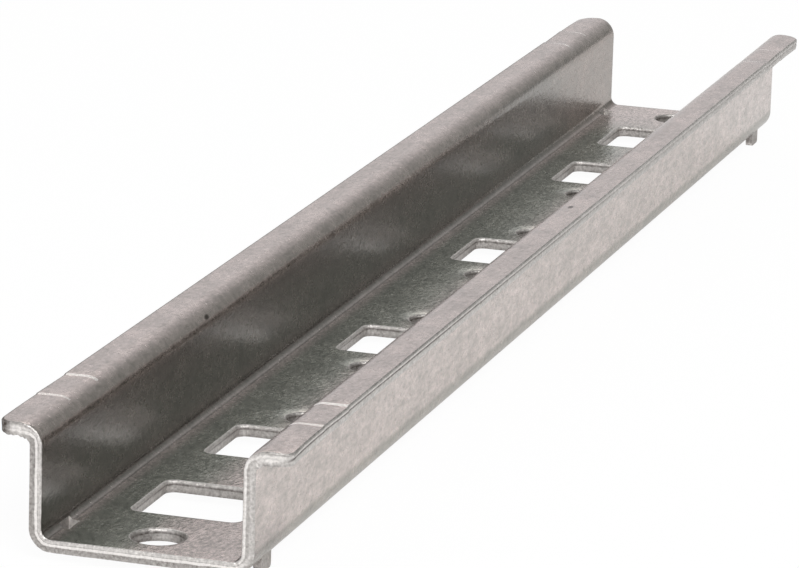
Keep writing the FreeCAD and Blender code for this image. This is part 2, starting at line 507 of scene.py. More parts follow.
@dataclass
class Rail:
    """The whole strip: section, outline, openings, tabs and what the tools left on it.

    Args:
        half_length: from the middle of the rail to an end.
        section: the folded section.
        drop: how far the tabs stand below the back.
        tab: the tabs' sizes.
        pitch: step of the punching.
        slot_half: half the width of a rectangular opening, and slot_corner its corners.
        pilot_radius: radius of the small holes between those openings.
        screw_radius: radius of the hole at each end, screw_inset from that end.
        flange_corner: rounding of the flanges' corners.
        cell_reach: half the side of the floor's cell round a rectangular opening, and
            screw_cell and pilot_cell half the length of a cell round the other holes.
        dish: how far the floor is drawn down at the small holes, over dish_reach.
        droop_reach: how far from the end a flange's corner droops, and dent_reach and
            ragged_reach how far the dents and the ragged edge reach.
        faded: how far the right slit edge passes over to the one tone faded_tone.
        marks: the tools' marks.
        wears: what shearing left on each flange's ends.
    """

    half_length: float
    section: Section
    drop: float
    tab: Tab = field(default_factory=Tab)
    pitch: float = 25.65 * MM
    slot_half: float = 6.6 * MM
    slot_corner: float = 1.2 * MM
    pilot_radius: float = 2.5 * MM
    screw_radius: float = 3.1 * MM
    screw_inset: float = 6.2 * MM
    flange_corner: float = 2.0 * MM
    cell_reach: float = 8.0 * MM
    screw_cell: float = 4.0 * MM
    pilot_cell: float = 4.7 * MM
    dish: float = 0.13 * MM
    dish_reach: float = 1.8 * MM
    droop_reach: float = 12.0 * MM
    dent_reach: float = 2.2 * MM
    ragged_reach: float = 0.7 * MM
    faded: float = 0.85
    faded_tone: float = 0.60
    marks: tuple[Mark, ...] = (
        Mark(21.4 * MM, 0.130 * MM, 0.60 * MM, 9.0 * MM, 1.0),
        Mark(12.3 * MM, 0.100 * MM, 0.50 * MM, 9.0 * MM, 0.8),
    )
    wears: tuple[EndWear, ...] = (
        EndWear(-1, -1, 0.50 * MM, 0.20 * MM, 0.22 * MM, 0.45 * MM),
        EndWear(-1, 1, 0.15 * MM, 0.10 * MM, 0.20 * MM, 0.30 * MM),
        EndWear(1, -1, 0.35 * MM, 0.00 * MM, 0.05 * MM, 0.05 * MM),
        EndWear(1, 1, 0.35 * MM, 0.00 * MM, 0.04 * MM, 0.05 * MM),
    )

    SLOT_STATIONS = (1, 3, 4)
    PILOT_STATIONS = (0.5, 1.5, 2.5)
    MERGE = 0.002 * MM
    RUBBED_TONE = 0.95
    RINGS = (0, 0.17, 0.34, 0.51, 0.68, 0.85)
    FADE_MIDDLE = 0.7
    FADE_RISE = 1.4
    # The flanges' profile takes over in this last part of the upper bends
    FLANGE_PART = 1 / 1.6
    WAVE_DEPTH = 0.025
    STAIN = 0.8
    STAIN_REACH = 1.9 * MM
    # Middle and half width of the dent, as shares of the upper bend
    DENT_MIDDLE = 0.73
    DENT_HALF = 0.6
    # Sines in radians a millimetre.  Teeth: height, across the strip, through it and phase;
    # waves of the burnished band: height, across and phase; burr: across and phase
    TEETH = ((0.4, 7.1, 3.1, 1.3), (0.3, 12.7, -5.3, 4.1), (0.3, 3.3, 2.9, 0.0))
    WAVES = ((1.0, 1.7, 0.0), (0.7, 4.3, 1.0))
    BURR_WAVES = ((5.3, 0.6), (2.1, 2.0))
    BURR_RISE = 3
    # Shares of the gauge between which the band's border is wavy, most in the middle
    WAVY_BAND = (0.25, 0.5, 0.75)
    # Shares of the way from the last cell to the end at which the end's lines run
    END_SHARES = (0.35, 0.62, 0.82, 1)
    FLANGE_CORNER_STEPS = 10
    TAB_CORNER_STEPS = 5

    @property
    def tab_inner(self) -> float:
        """Distance of a tab's inner face from the centre line."""
        return self.tab_outer - self.tab.gauge

    @property
    def tab_outer(self) -> float:
        """Distance of a tab's outer face from the centre line."""
        return self.section.half_channel - self.tab.setback

    @property
    def window_edge(self) -> float:
        """Distance of a window's edge in the floor from the centre line."""
        return self.tab_inner - self.tab.window

    @property
    def tab_span(self) -> tuple[float, float]:
        """X of a tab's two sides at the far end."""
        middle = self.half_length - self.tab.inset
        return middle - self.tab.length / 2, middle + self.tab.length / 2

    def openings(self) -> list[Opening]:
        """List every punched opening of the floor.

        A cell's lines are moved where a mark or a tab needs a line: the two middle lines of
        an opening's cell stand at a mark's slope that crosses it, and two lines of the
        screw hole's cell at the tab's sides.

        Returns:
            The openings in order along X.
        """
        first_mark = self.marks[0]
        half = []
        for station in self.SLOT_STATIONS:
            centre = station * self.pitch
            shares = list(CELL_SHARES)
            mark = self.half_length - first_mark.distance
            if abs(mark - centre) < self.cell_reach / 2:
                pair = [mark - first_mark.width / 2, mark + first_mark.width / 2]
                shares[5:7] = [(x - centre) / self.cell_reach for x in pair]
            half.append(Opening(centre, self.slot_half, self.slot_corner, self.cell_reach,
                                tuple(shares)))
        half += [Opening(station * self.pitch, self.pilot_radius, self.pilot_radius,
                         self.pilot_cell, dish=self.dish) for station in self.PILOT_STATIONS]
        centre = self.half_length - self.screw_inset
        near, far = [(x - centre) / self.screw_cell for x in self.tab_span]
        half.append(Opening(centre, self.screw_radius, self.screw_radius, self.screw_cell,
                            (-1, -0.86, -0.72, near, -0.30, -0.02, 0.02, far, 0.60, 0.76, 0.88, 1)))
        mirrored = [Opening(-item.centre, item.half, item.corner, item.cell_half,
                            tuple(-share for share in item.shares[::-1]), item.dish)
                    for item in half]
        return sorted(half + mirrored, key=lambda item: item.centre)

    def cross_lines(self) -> np.ndarray:
        """X of the lines across the rail between the two end blocks.

        Returns:
            Rising X values, the outermost of them the end cells' edges.
        """
        cells = self.openings()
        lines = [cell.lines for cell in cells]
        for before, after in zip(cells[:-1], cells[1:]):
            lines.append(np.linspace(before.lines[-1], after.lines[0], 3)[1:-1])
        second = self.half_length - self.marks[1].distance
        pair = second + np.array([-0.5, 0.5]) * self.marks[1].width
        lines += [pair, -pair]
        return np.unique(np.round(np.concatenate(lines), 9))

    def long_lines(self) -> tuple[np.ndarray, np.ndarray]:
        """Places of the lines along the rail, from one flange's edge to the other's.

        Past the start of the flange's corner the lines stand at its sine, so that each
        meets the corner's arc.

        Returns:
            The places across, and at each the angle through which the outline has turned
            from the end towards the flange's edge.
        """
        section = self.section
        inner_back = section.bend_place(self.tab_inner, section.gauge)
        outer_back = section.bend_place(self.tab_outer, section.gauge)
        inner_open = section.bend_place(self.tab_inner, 0)
        corner_start = section.half_strip - self.flange_corner
        # Each place, and into how many steps the run up to it is divided
        stops = [(self.cell_reach, 1), (self.window_edge, 2), (section.floor_end, 1),
                 (inner_back, 2), (outer_back, 3), (inner_open, 1), (section.wall_start, 4),
                 (section.wall_end, 10), (section.flange_start, 14), (corner_start, 3)]
        half = [np.array([self.cell_reach])]
        for (start, _), (end, steps) in zip(stops[:-1], stops[1:]):
            half.append(np.linspace(start, end, steps + 1)[1:])
        turn = np.linspace(0, QUARTER_TURN, self.FLANGE_CORNER_STEPS + 1)[1:]
        half.append(corner_start + self.flange_corner * np.sin(turn))
        outer = np.concatenate(half)
        middle = CELL_SHARES[1:-1] * self.cell_reach
        straight = np.zeros(outer.size - turn.size)
        angle = np.concatenate([straight, turn])
        return (np.concatenate([-outer[::-1], middle, outer]),
                np.concatenate([angle[::-1], np.zeros(middle.size), angle]))

    def end_of(self, angle: np.ndarray) -> np.ndarray:
        """X at which each line along the rail ends: the corner's arc at its angle."""
        return self.half_length - self.flange_corner * (1 - np.cos(angle))

    def end_block(self, end: np.ndarray) -> np.ndarray:
        """X of the lines in the block between the last cell and the far end.

        Args:
            end: X at which each line along the rail ends.

        Returns:
            (rows, lines along the rail) X values, which close up towards the corner.
        """
        start = self.cross_lines()[-1]
        shares = np.array(self.END_SHARES)[:, None]
        return start + shares * (end - start)

    def edge(self, place: np.ndarray, slit: np.ndarray) -> list[np.ndarray]:
        """Profile of the cut edge at each point of the outline.

        Five profiles are mixed.  The ends' three pass over into one another in the lower
        bend on the right and in the upper bends, and pass over into the slit edges' as the
        outline turns each corner.  Two sines of the place make the border of the burnished
        band wavy, and the left flange's rolled-over corner is stained.

        Args:
            place: nominal place across the strip.
            slit: share of the slit edge's profile at each place.

        Returns:
            Inset, depth and tone, each with a row for every stop.
        """
        section = self.section
        right = np.clip((-place - section.floor_end) / section.arc, 0, 1)
        turned = (np.abs(place) - section.wall_end) / section.arc
        flange = np.clip(1 - (1 - turned) / self.FLANGE_PART, 0, 1)
        weights = [(1 - slit) * (1 - flange) * (1 - right), (1 - slit) * (1 - flange) * right,
                   (1 - slit) * flange, slit * (place > 0), slit * (place < 0)]
        kinds = (FLOOR_END, RIGHT_END, FLANGE_END, LEFT_SLIT, RIGHT_SLIT)
        profiles = [kind.profile(section.gauge) for kind in kinds]
        inset, depth, tone = [sum(profile[part][:, None] * weight
                                  for profile, weight in zip(profiles, weights))
                              for part in range(3)]
        inner = np.interp(depth / section.gauge, self.WAVY_BAND, (0, 1, 0))
        wave = sum(height * np.sin(place / MM * across + phase)
                   for height, across, phase in self.WAVES)
        stain = np.clip((place - section.half_strip + self.STAIN_REACH) / MM, 0, 1)
        wavy = depth + inner * wave * self.WAVE_DEPTH * section.gauge
        return [inset, wavy, tone * (1 - self.STAIN * stain)]

    def shape(self, x: np.ndarray, place: np.ndarray, depth: np.ndarray) -> np.ndarray:
        """Turn places on the flat strip into points of the worn rail.

        After folding, the flanges lose the marks' sag in proportion to how far a point
        lies from the wall's top to the flange's edge.  The corners' droop grows with the
        fourth power of that share and the square of the way through the last part of the
        rail; the dent is a smooth hump over the upper bend.  The ragged edge is a sum of
        three sines of the place across and the depth, and the burr under the flange hangs
        by the product of two sines of the place.

        Args:
            x: X of each point.
            place: place across the strip.
            depth: depth through the strip.

        Returns:
            (..., 3) points.
        """
        x, place, depth = np.broadcast_arrays(x, place, depth)
        section = self.section
        y, z = section.fold(place, depth)
        from_end = self.half_length - np.abs(x)
        run = np.abs(place) - section.wall_end
        lean = np.clip(run / (section.half_strip - section.wall_end), 0, 1)
        z = z - lean * sum(mark.sag(from_end) for mark in self.marks)
        droop, dent, rim = [np.clip(1 - from_end / reach, 0, 1) for reach in
                            (self.droop_reach, self.dent_reach, self.ragged_reach)]
        hump = np.clip(1 - np.abs(run / section.arc - self.DENT_MIDDLE) / self.DENT_HALF, 0, 1)
        hump = hump ** 2 * (3 - 2 * hump)
        teeth = sum(height * np.sin(place / MM * across + depth / MM * through + phase)
                    for height, across, through, phase in self.TEETH)
        fine, coarse = [np.sin(place / MM * across + phase) for across, phase in self.BURR_WAVES]
        burr = 0.5 + 0.5 * fine * coarse
        burr = burr * np.clip(lean * self.BURR_RISE, 0, 1) * (depth / section.gauge) * rim
        for wear in self.wears:
            here = (np.sign(x) == wear.end) & (np.sign(place) == wear.side)
            z = z - here * (wear.droop * lean ** 4 * droop ** 2 + wear.dent * hump * dent ** 2
                            + wear.burr * burr)
            x = x - here * wear.end * rim * wear.ragged * (1 + teeth) / 2
        return np.stack([x, y, z], -1)

    def surface(self, shell: Shell, layer: Layer) -> None:
        """Add one face of the strip, but for the openings' cells and the windows.

        A mark's slope is rubbed bright over the flange and the last third of the upper bend.

        Args:
            shell: gathers the mesh.
            layer: which face.
        """
        place, angle = self.long_lines()
        row = -1 if layer is Layer.BACK else 0
        inset = self.edge(place, angle / QUARTER_TURN)[0][row]
        end = self.end_of(angle) - inset * np.cos(angle)
        place = place - np.sign(place) * inset * np.sin(angle)
        lines = self.cross_lines()
        block = self.end_block(end)
        rows = np.broadcast_to(lines[:, None], (lines.size, place.size))
        x = np.concatenate([-block[::-1], rows, block])
        depth = layer.value * self.section.gauge
        points = self.shape(x, place[None, :], depth)
        middle_x = (x[:-1, :-1] + x[1:, 1:]) / 2
        middle_place = np.broadcast_to((place[:-1] + place[1:]) / 2, middle_x.shape)
        keep = np.ones(middle_x.shape, bool)
        for item in self.openings():
            keep &= ((np.abs(middle_x - item.centre) > item.cell_half)
                     | (np.abs(middle_place) > self.cell_reach))
        keep &= ~self.in_window(middle_x, middle_place, depth)
        bright = np.zeros(keep.shape, bool)
        for mark in self.marks:
            on_slope = np.abs(self.half_length - np.abs(middle_x) - mark.distance) < mark.width / 2
            rubbed = on_slope & (np.abs(middle_place) > self.section.flange_start
                                 - self.section.arc / 3) & (layer is Layer.OPEN_SIDE)
            shell.grid(points, cut=mark.shine, tone=self.RUBBED_TONE, keep=rubbed)
            bright |= rubbed
        shell.grid(points, keep=keep & ~bright)

    def in_window(self, x: np.ndarray, place: np.ndarray, depth: float) -> np.ndarray:
        """Say which places lie where a window is cut or a tab hangs.

        Args:
            x: X of each place.
            place: places across the strip.
            depth: the face's depth through the strip.

        Returns:
            True where the face is cut away.
        """
        low, high = self.tab_span
        reach = self.tab_outer if depth else self.tab_inner
        edge = self.section.bend_place(reach, depth)
        along = (np.abs(x) > low) & (np.abs(x) < high)
        return along & (np.abs(place) > self.window_edge) & (np.abs(place) < edge)

    def punching(self, shell: Shell) -> None:
        """Add the floor round each opening and the opening's own cut edge.

        The floor there is rows of rings from the opening's outline to its cell's edge.  A
        dish sinks the open side's rings by the square of what is left of its reach, and
        the cut edge's points by the share of the gauge below them.

        Args:
            shell: gathers the mesh.
        """
        gauge = self.section.gauge
        inset, depth, tone = PUNCHED_EDGE.profile(gauge)
        cell_places = CELL_SHARES * self.cell_reach
        rings = np.array(self.RINGS) * self.dish_reach
        sink = (1 - rings / rings[-1]) ** 2
        for item in self.openings():
            edge = item.cell_edge(cell_places)
            for layer, first in ((Layer.OPEN_SIDE, inset[0]), (Layer.BACK, inset[-1])):
                count = rings.size if item.dish else 2
                rows = [item.outline(first + reach) for reach in rings[:count]]
                ring = np.stack(rows + [edge])
                drop = np.zeros(count + 1)
                if layer is Layer.OPEN_SIDE:
                    drop[:count] = item.dish * sink[:count]
                shell.grid(self.shape(ring[..., 0], ring[..., 1],
                                      layer.value * gauge + drop[:, None]))
            wall = np.stack([item.outline(amount) for amount in inset])
            sunk = depth + item.dish * (1 - depth / gauge)
            # Round holes' walls take their painted shade and painted reflection from item.shade
            shell.grid(self.shape(wall[..., 0], wall[..., 1], sunk[:, None]),
                       cut=1.0, tone=tone[:, None] * item.shade)

    def outline(self, shell: Shell) -> None:
        """Add the cut edge round the whole strip.

        Along the right flange's slit edge the profile's tones pass over to one tone, with a
        share that rises evenly along the rail.

        Args:
            shell: gathers the mesh.
        """
        place, angle = self.long_lines()
        end = self.end_of(angle)
        cross = self.cross_lines()
        side = np.concatenate([cross, self.end_block(end)[:-1, -1]])
        side = np.concatenate([-side[side > cross[-1]][::-1], side])
        edge = np.full(side.size, self.section.half_strip)
        zero, one = np.zeros(side.size), np.ones(side.size)
        lean = np.sign(place) * np.sin(angle)
        x = np.concatenate([end, side[::-1], -end[::-1], side, end[:1]])
        across = np.concatenate([place, edge, place[::-1], -edge, place[:1]])
        out_x = np.concatenate([np.cos(angle), zero, -np.cos(angle), zero, [0]])
        out_place = np.concatenate([lean, one, lean[::-1], -one, lean[:1]])
        slit = np.concatenate([angle / QUARTER_TURN, one, angle[::-1] / QUARTER_TURN, one, [1]])
        inset, depth, tone = self.edge(across, slit)
        fade = np.clip(self.FADE_MIDDLE + x / self.half_length * self.FADE_RISE, 0, 1)
        faded = self.faded * slit * (across < 0) * fade
        tone = tone + faded * (self.faded_tone - tone)
        shell.grid(self.shape(x - inset * out_x, across - inset * out_place, depth),
                   cut=1.0, tone=tone)

    def tabs(self, shell: Shell) -> None:
        """Add the four tabs and the cut faces of their windows.

        A tab is flat-faced: its inner and outer faces run along the rail, its rim is the
        path of its lower corners carried from one face to the other, and the faces at its
        two sides follow the bend above it.

        Args:
            shell: gathers the mesh.
        """
        section = self.section
        gauge = section.gauge
        low, high = self.tab_span
        cross = self.cross_lines()
        xs = cross[(cross > low - self.MERGE) & (cross < high + self.MERGE)]
        places = self.long_lines()[0]
        window, inner_back, outer_back, inner_open = (
            self.window_edge, section.bend_place(self.tab_inner, gauge),
            section.bend_place(self.tab_outer, gauge), section.bend_place(self.tab_inner, 0))

        def between(start: float, stop: float) -> np.ndarray:
            """Places of the lines from one place to another."""
            return places[(places > start - self.MERGE) & (places < stop + self.MERGE)]

        def chain(start: float, stop: float, depth: float) -> np.ndarray:
            """Y and Z of the face's line from one place to another."""
            return np.stack(section.fold(between(start, stop), depth), 1)

        turn = np.linspace(0, QUARTER_TURN, self.TAB_CORNER_STEPS + 1)
        foot = self.tab.corner * np.stack([np.sin(turn), -np.cos(turn)], 1)[::-1]
        foot = foot + [high - self.tab.corner, self.tab.corner - self.drop]
        path = np.concatenate([foot, (foot * [-1, 1] + [low + high, 0])[::-1]])
        top_inner = section.fold(np.array(inner_open), 0)[1]
        low_inner = section.fold(np.array(inner_back), gauge)[1]
        top_outer = section.fold(np.array(outer_back), gauge)[1]
        heel = self.tab.corner - self.drop
        inner_loop = np.concatenate([
            np.stack([xs, np.full(xs.size, top_inner)], 1), [[high, low_inner]], path,
            [[low, low_inner]]])
        outer_loop = np.concatenate([np.stack([xs, np.full(xs.size, top_outer)], 1), path])
        side_loop = np.concatenate([chain(inner_back, outer_back, gauge),
                                    [[self.tab_outer, heel], [self.tab_inner, heel]]])
        cut_loop = np.concatenate([chain(window, inner_open, 0),
                                   chain(window, inner_back, gauge)[::-1]])

        for end in (1, -1):
            for side in (1, -1):
                def put(x: Any, y: Any, z: Any) -> np.ndarray:
                    """Points of this corner's tab."""
                    return np.stack(np.broadcast_arrays(end * x, side * y, z), -1)

                shell.face(put(inner_loop[:, 0], self.tab_inner, inner_loop[:, 1]), *self.tab.INNER)
                shell.face(put(outer_loop[:, 0], self.tab_outer, outer_loop[:, 1]), *self.tab.OUTER)
                for x in (low, high):
                    shell.face(put(x, side_loop[:, 0], side_loop[:, 1]), *self.tab.SIDE)
                    shell.face(put(x, cut_loop[:, 0], cut_loop[:, 1]), *self.tab.WINDOW_SIDE)
                rim = np.array([self.tab_inner, self.tab_outer])[:, None]
                shell.grid(put(path[:, 0], rim, path[:, 1]), *self.tab.RIM)
                floor_cut = np.array([0, gauge])[:, None]
                shell.grid(put(xs, self.window_edge, floor_cut), *self.tab.FLOOR_CUT)

    def build(self) -> bpy.types.Object:
        """Build the rail's mesh.

        Returns:
            The object, not yet dressed.
        """
        shell = Shell()
        self.surface(shell, Layer.OPEN_SIDE)
        self.surface(shell, Layer.BACK)
        self.punching(shell)
        self.outline(shell)
        self.tabs(shell)
        return shell.build("rail_strip", self.MERGE)

    def dress(self, piece: bpy.types.Object, finish: "GalvanisedSteel") -> None:
        """Give the rail its finish and its place in the frame.

        Args:
            piece: the rail's object.
            finish: what it is made of.
        """
        piece.data.materials.append(finish.material())
        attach(piece, "root")
        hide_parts(NODE)


class Value:
    """A socket of a shader's graph that takes part in Python arithmetic."""

    def __init__(self, graph: "Graph", socket: bpy.types.NodeSocket) -> None:
        """Hold a socket and the graph it belongs to."""
        self.graph = graph
        self.socket = socket

    def _math(self, operation: str, *terms: Any) -> "Value":
        """Add one Math node over the terms."""
        inputs = dict(enumerate(terms))
        made = self.graph.node("ShaderNodeMath", {"operation": operation}, inputs)
        return Value(self.graph, made.outputs[0])

    def __add__(self, other: Any) -> "Value":
        """Sum."""
        return self._math("ADD", self, other)

    def __radd__(self, other: Any) -> "Value":
        """Sum, reflected."""
        return self._math("ADD", other, self)

    def __sub__(self, other: Any) -> "Value":
        """Difference."""
        return self._math("SUBTRACT", self, other)

    def __rsub__(self, other: Any) -> "Value":
        """Difference, reflected."""
        return self._math("SUBTRACT", other, self)

    def __mul__(self, other: Any) -> "Value":
        """Product."""
        return self._math("MULTIPLY", self, other)

    def __rmul__(self, other: Any) -> "Value":
        """Product, reflected."""
        return self._math("MULTIPLY", other, self)

    def at_most(self, other: Any) -> "Value":
        """Lesser of the two."""
        return self._math("MINIMUM", self, other)

    def at_least(self, other: Any) -> "Value":
        """Greater of the two."""
        return self._math("MAXIMUM", self, other)

    def ramp(self, start: float, stop: float) -> "Value":
        """Share of the way from start to stop, eased at both and held past them."""
        made = self.graph.node("ShaderNodeMapRange", {"interpolation_type": "SMOOTHSTEP"},
                               {"Value": self, "From Min": start, "From Max": stop})
        return Value(self.graph, made.outputs[0])


class Graph:
    """The node tree of one material or of the world, filled by expressions."""

    def __init__(self, tree: bpy.types.NodeTree) -> None:
        """Start from an empty tree."""
        self.tree = tree
        tree.nodes.clear()

    def node(self, kind: str, settings: Mapping[str, Any] | None = None,
             inputs: Mapping[Any, Any] | None = None) -> bpy.types.Node:
        """Add one node.

        Args:
            kind: the node's type.
            settings: its own settings, set first.
            inputs: value or link for each socket, by name or number.

        Returns:
            The node.
        """
        made = self.tree.nodes.new(kind)
        for name, value in (settings or {}).items():
            setattr(made, name, value)
        for key, value in (inputs or {}).items():
            socket = value.socket if isinstance(value, Value) else value
            if isinstance(socket, bpy.types.NodeSocket):
                self.tree.links.new(socket, made.inputs[key])
            else:
                made.inputs[key].default_value = socket
        return made

    def value(self, kind: str, output: Any, settings: Mapping[str, Any] | None = None,
              inputs: Mapping[Any, Any] | None = None) -> Value:
        """Add one node and take one of its outputs for arithmetic."""
        return Value(self, self.node(kind, settings, inputs).outputs[output])

    def attribute(self, name: str) -> Value:
        """Read one of the mesh's own values."""
        return self.value("ShaderNodeAttribute", "Fac", {"attribute_name": name})

    def mix(self, share: Any, first: Any, second: Any, blend: str = "MIX") -> Value:
        """Mix two colours.

        Args:
            share: how far from the first to the second.
            first: colour or link.
            second: colour or link.
            blend: how they are mixed.

        Returns:
            The mixed colour.
        """
        ends = [(*end, 1.0) if isinstance(end, tuple) else end for end in (first, second)]
        return self.value("ShaderNodeMix", 2, {"data_type": "RGBA", "blend_type": blend},
                          {0: share, 6: ends[0], 7: ends[1]})

    def split(self, vector: Value) -> list[Value]:
        """Take a vector's three parts."""
        parts = self.node("ShaderNodeSeparateXYZ", None, {0: vector})
        return [Value(self, output) for output in parts.outputs]

    def scaled(self, vector: Value, factors: Colour) -> Value:
        """Multiply a vector's three parts by three factors."""
        return self.value("ShaderNodeVectorMath", 0, {"operation": "MULTIPLY"},
                          {0: vector, 1: factors})


@dataclass(frozen=True)
class Pattern:
    """A smooth noise of the finish.

    Args:
        scale: how many of its cells there are to a millimetre.
        detail: how many finer layers it has.
        rough: how strong the finer layers are.
        tone: how much it changes the metal's tone.
        relief: how much it raises the surface.
        matt: how much it changes the roughness.
        draw: what lengths along the rail are multiplied by, to draw it out.
    """

    scale: float
    detail: float
    rough: float
    tone: float
    relief: float = 0.0
    matt: float = 0.0
    draw: float = 1.0

    def build(self, graph: Graph, place: Value) -> Value:
        """Make the noise, from 0 to 1, at a place in millimetres."""
        return graph.value("ShaderNodeTexNoise", "Fac", None,
                           {"Vector": graph.scaled(place, (self.draw, 1.0, 1.0)),
                            "Scale": self.scale, "Detail": self.detail,
                            "Roughness": self.rough})


class Way(Enum):
    """What a region's span is measured along, in millimetres."""

    OUT = "from the centre line to either side"
    ACROSS = "from the centre line to the left"
    LEVEL = "from the back upwards"
    SHADE = "from the back upwards, less the rise of the shade's edge"
    ALONG = "from the middle of the rail towards its far end"


# Spans of each region: what they run along, where the region's mask is nothing and where full
REGIONS: dict[str, tuple[tuple[Way, float, float], ...]] = {
    # The channel; its walls' inner faces take painted shade
    "channel": ((Way.OUT, 12.7, 12.1), (Way.LEVEL, 0.3, 1.2), (Way.SHADE, 13.6, 11.6)),
    "floor": ((Way.OUT, 11.25, 11.0), (Way.LEVEL, 2.4, 1.9)),
    # Painted shade: the floor's left half is darkened and greened
    "left_floor_shade": ((Way.ACROSS, -2.0, 4.0), (Way.ACROSS, 11.0, 9.2), (Way.ALONG, 117.0, 100.0)),
    # Painted highlight: a line where the floor meets the lower bend
    "seam_highlight": ((Way.OUT, 11.1, 11.3), (Way.LEVEL, 1.90, 1.68)),
    # Painted shade on the walls is lighter towards the far end
    "far_wall_shade": ((Way.ALONG, 78.0, 108.0),),
    # Painted light along the walls' inner tops, towards the near end
    "crease_highlight": ((Way.OUT, 12.7, 12.1), (Way.LEVEL, 12.35, 12.6), (Way.LEVEL, 13.2, 12.9),
               (Way.ALONG, 60.0, -20.0)),
    "outside": ((Way.OUT, 13.1, 13.4), (Way.LEVEL, 14.0, 13.2)),
    # Painted shade on the outside of the walls above the near tabs
    "heel": ((Way.OUT, 13.0, 13.3), (Way.ALONG, -110.0, -116.0), (Way.LEVEL, 6.5, 2.5)),
    # Painted shade on the outside of the lower bends
    "bend": ((Way.OUT, 12.2, 13.1), (Way.LEVEL, 3.4, 2.5)),
}


@dataclass(frozen=True)
class GalvanisedSteel:
    """Zinc-coated strip with a fine spangle, and the bare steel of its cut edges.

    Args:
        zinc: colour of the coating.
        dull: colour of its duller patches.
        floor: what the coating's colour is multiplied by on the floor's left half: painted shade,
            darker and greener.
        wall: the same for the walls' inner faces: painted shade.
        wall_end: the same towards the far end: lighter painted shade.
        bend: the same for the outside of the lower bends: painted shade.
        crease_highlight: the same where the walls' inner faces meet the upper bends: painted light.
        heel: the same for the outside of the walls above the near tabs: painted shade.
        bright: colour of burnished steel.
        dark: colour of torn or stained steel.
        chips: places in millimetres where the coating is chipped.
        chip_draw: what a chip's length is multiplied by, and chip_edge its soft edge.
        skin_roughness: roughness of the coating, and cut_roughness of cut metal.
        floor_matt: how much less metallic the channel's floor is.
        seam_highlight: how far the walls' painted shade gives way where the floor meets the bend,
            which paints a light line there.
        shade_rise: X over which the edge of the walls' painted shade rises by a millimetre.
        speck: the fine noise, cloud the coarse one and streak the one drawn out.
        pits: noise of the channel's floor, and blotch of the outside of the walls.
        torn: noise of cut metal.
        grain_scale: how many grains there are to a millimetre, and grain_tone,
            grain_relief and grain_matt what they change, as for a pattern.
        wobble_scale: scale of the noise that bends the grains, wobble_detail its layers
            and wobble how far it bends them, in millimetres.
        relief: height of the relief.
    """

    zinc: Colour = (0.755, 0.66, 0.63)
    dull: Colour = (0.375, 0.345, 0.32)
    # Painted shade and light by region: each multiplies the coating's colour; all darken it but the
    # one for the walls' inner tops, which lightens it
    floor: Colour = (0.65, 0.76, 0.715)
    wall: Colour = (0.475, 0.50, 0.49)
    wall_end: Colour = (0.53, 0.507, 0.482)
    bend: Colour = (0.62, 0.65, 0.62)
    crease_highlight: Colour = (1.36, 1.38, 1.36)
    heel: Colour = (0.80, 0.79, 0.80)
    bright: Colour = (0.92, 0.885, 0.86)
    dark: Colour = (0.08, 0.065, 0.055)
    chips: tuple[Colour, ...] = ((-66.9, 12.3, 13.6), (1.2, -15.0, 15.0))
    chip_draw: float = 0.45
    chip_edge: Span = (0.45, 0.20)
    skin_roughness: float = 0.24
    cut_roughness: float = 0.50
    floor_matt: float = 0.12
    # Painted highlight where the floor meets the lower bend
    seam_highlight: float = 0.22
    shade_rise: Span = (0.0, 70.0)
    speck: Pattern = Pattern(1.8, 3.0, 0.6, tone=1.1, relief=0.7, draw=0.5)
    cloud: Pattern = Pattern(0.22, 4.0, 0.55, tone=1.0, matt=0.10)
    streak: Pattern = Pattern(0.9, 3.0, 0.6, tone=0.35, draw=0.03)
    pits: Pattern = Pattern(2.1, 2.0, 0.6, tone=2.2, relief=1.2, draw=0.55)
    blotch: Pattern = Pattern(1.3, 4.0, 0.65, tone=1.2, draw=0.35)
    torn: Pattern = Pattern(2.6, 3.0, 0.6, tone=0.9, relief=3.0)
    grain_scale: float = 2.2
    grain_tone: float = 0.25
    grain_relief: float = 0.3
    grain_matt: float = 0.08
    wobble_scale: float = 1.3
    wobble_detail: float = 2.0
    wobble: float = 0.5
    relief: float = 0.04 * MM

    def masks(self, graph: Graph, place: Value) -> dict[str, Value]:
        """Make the mask of every region: the product of eased ramps over its spans.

        The distance from the centre line is compared by its square.  The floor and its
        left half lie within the channel.

        Args:
            graph: the material's graph.
            place: place in millimetres.

        Returns:
            Each region's mask by its name.
        """
        along, across, level = graph.split(place)
        ways = {Way.OUT: across * across, Way.ACROSS: across, Way.LEVEL: level,
                Way.SHADE: level - along.ramp(*self.shade_rise), Way.ALONG: along}
        made = {}
        for name, spans in REGIONS.items():
            ramps = [ways[way].ramp(start ** 2, stop ** 2) if way is Way.OUT
                     else ways[way].ramp(start, stop) for way, start, stop in spans]
            made[name] = math.prod(ramps[1:], start=ramps[0])
        made["floor"] = made["floor"] * made["channel"]
        made["left_floor_shade"] = made["left_floor_shade"] * made["floor"]
        return made

    def grain(self, graph: Graph, place: Value) -> Value:
        """Make the spangle: a cell pattern whose cells a noise bends, one tone to a cell."""
        bent = graph.value("ShaderNodeTexNoise", "Color", None,
                           {"Vector": place, "Scale": self.wobble_scale,
                            "Detail": self.wobble_detail})
        bent = graph.value("ShaderNodeVectorMath", 0, {"operation": "MULTIPLY_ADD"},
                           {0: bent, 1: (self.wobble,) * 3, 2: place})
        cells = graph.value("ShaderNodeTexVoronoi", "Color", None,
                            {"Vector": bent, "Scale": self.grain_scale})
        return graph.value("ShaderNodeSeparateColor", 0, None, {0: cells})

